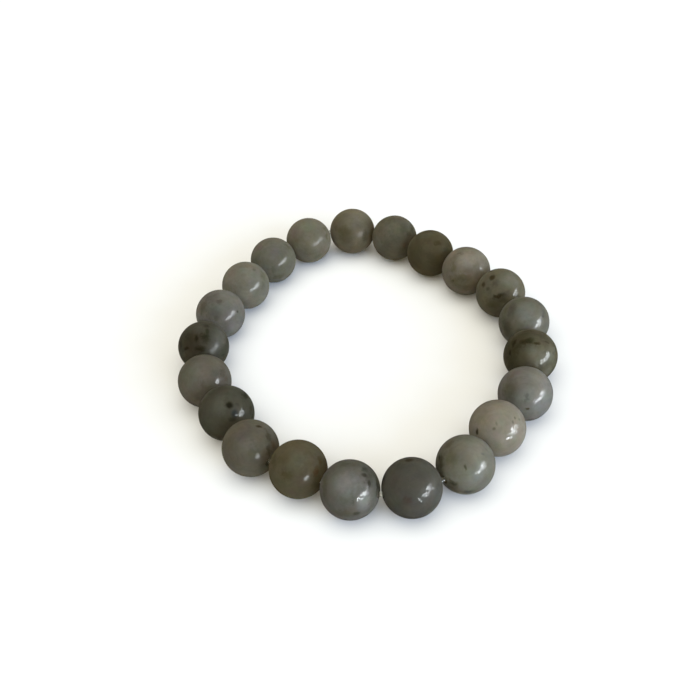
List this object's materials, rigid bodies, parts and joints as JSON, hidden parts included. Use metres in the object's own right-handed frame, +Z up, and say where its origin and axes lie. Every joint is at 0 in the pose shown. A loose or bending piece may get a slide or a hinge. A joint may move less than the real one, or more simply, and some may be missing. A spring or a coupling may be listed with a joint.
{
  "type": "beaded bracelet",
  "caption": "Elastic bracelet: a closed loop of round polished stone beads in mottled greys and beiges, drilled through and strung on a clear cord.",
  "frame": {"origin": "middle of the loop's outline, on the surface that the bracelet lies on", "axes": "+Z up, square to the flat loop; +Y along its longer width, towards the far end in the picture; +X to the right"},
  "size_m": [0.0582, 0.0688, 0.0082],
  "materials": {
    "clear_cord": "clear elastic, glossy",
    "stone_cream": "polished, cream feldspar with small dark grains",
    "stone_warm_grey": "polished, warm grey feldspar with brown clouds",
    "stone_pale_grey": "polished, pale grey feldspar with dark grains",
    "stone_blue_grey": "polished, blue-grey feldspar with dark smudges",
    "stone_green_grey": "polished, pale green-grey feldspar",
    "stone_moss": "polished, mossy green-grey feldspar with dark blotches",
    "stone_dark_moss": "polished, dark green-grey feldspar with black blotches",
    "stone_honey": "polished, honey-brown feldspar",
    "stone_slate": "polished, even slate-grey feldspar"
  },
  "bodies": {
    "root": {"elastic_cord": "clear_cord", "bead_01": "stone_warm_grey", "bead_02": "stone_green_grey", "bead_03": "stone_moss", "bead_04": "stone_cream", "bead_05": "stone_pale_grey", "bead_06": "stone_pale_grey", "bead_07": "stone_moss", "bead_08": "stone_blue_grey", "bead_09": "stone_cream", "bead_10": "stone_green_grey", "bead_11": "stone_slate", "bead_12": "stone_blue_grey", "bead_13": "stone_honey", "bead_14": "stone_warm_grey", "bead_15": "stone_moss", "bead_16": "stone_green_grey", "bead_17": "stone_dark_moss", "bead_18": "stone_pale_grey", "bead_19": "stone_cream", "bead_20": "stone_green_grey", "bead_21": "stone_warm_grey"}
  },
  "joints": []
}
